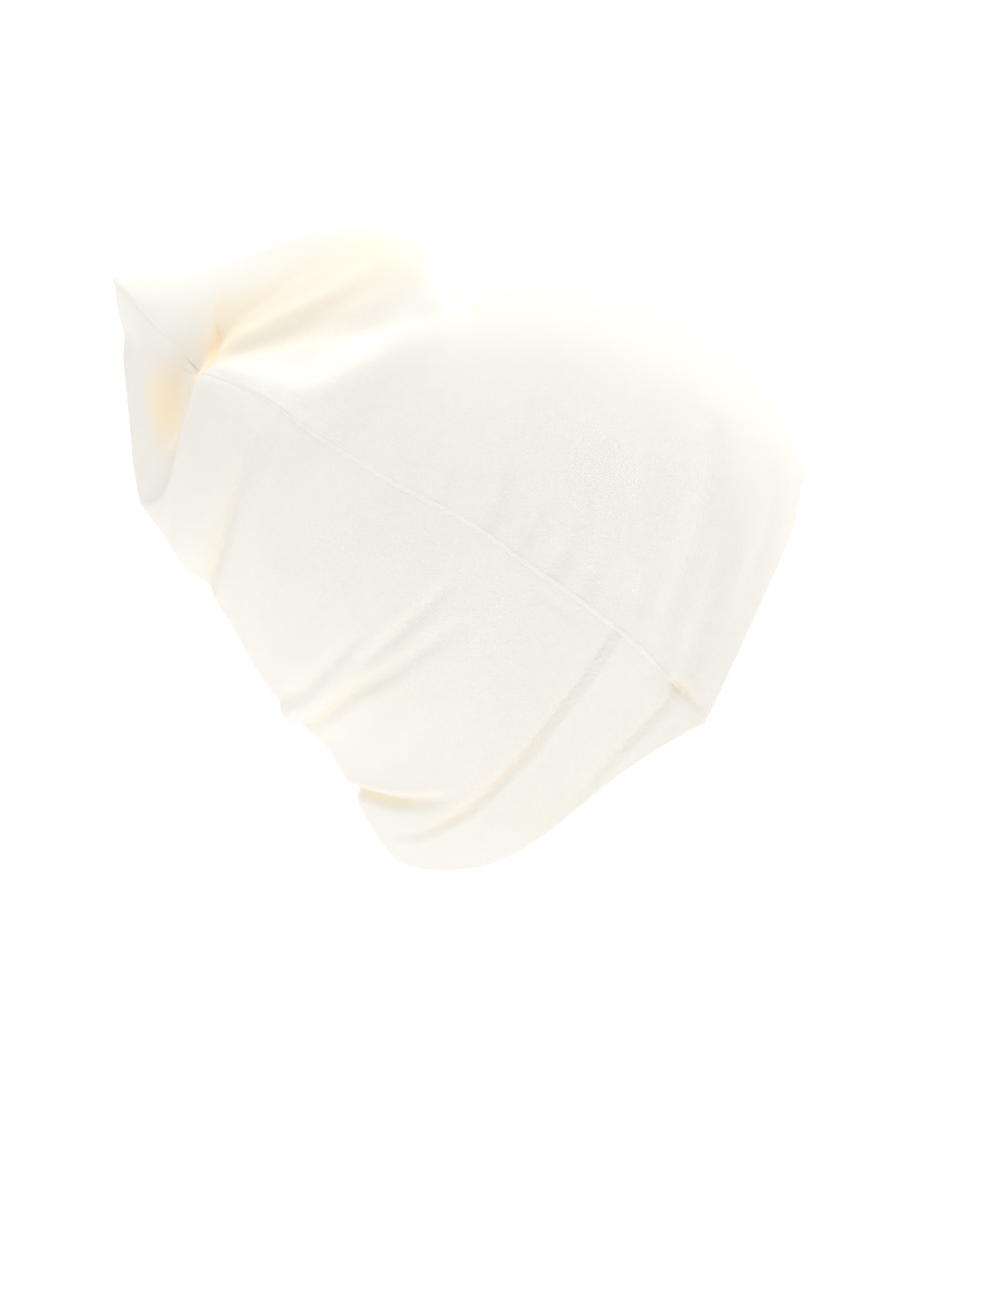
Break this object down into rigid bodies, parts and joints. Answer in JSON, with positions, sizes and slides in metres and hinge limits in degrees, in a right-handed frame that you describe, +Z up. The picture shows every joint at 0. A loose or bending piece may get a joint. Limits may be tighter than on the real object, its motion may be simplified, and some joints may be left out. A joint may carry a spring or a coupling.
{
  "type": "nightcap",
  "caption": "Long soft jersey nightcap, worn shape: an open tube over the head that leans back to a closed end with its corners tucked in.",
  "frame": {"origin": "where the top of the head meets the inside of the cap, at the highest point inside over the head", "axes": "+X the way the wearer faces, +Y the wearer's left, +Z up"},
  "size_m": [0.2669, 0.1558, 0.2456],
  "materials": {
    "jersey": "matte fine natural-white jersey knit",
    "seam": "matte overlocked seam of the same knit"
  },
  "bodies": {
    "root": {"front_panel": "jersey", "back_panel": "jersey", "right_side_seam": "seam", "left_side_seam": "seam", "crown_seam": "seam"}
  },
  "joints": []
}
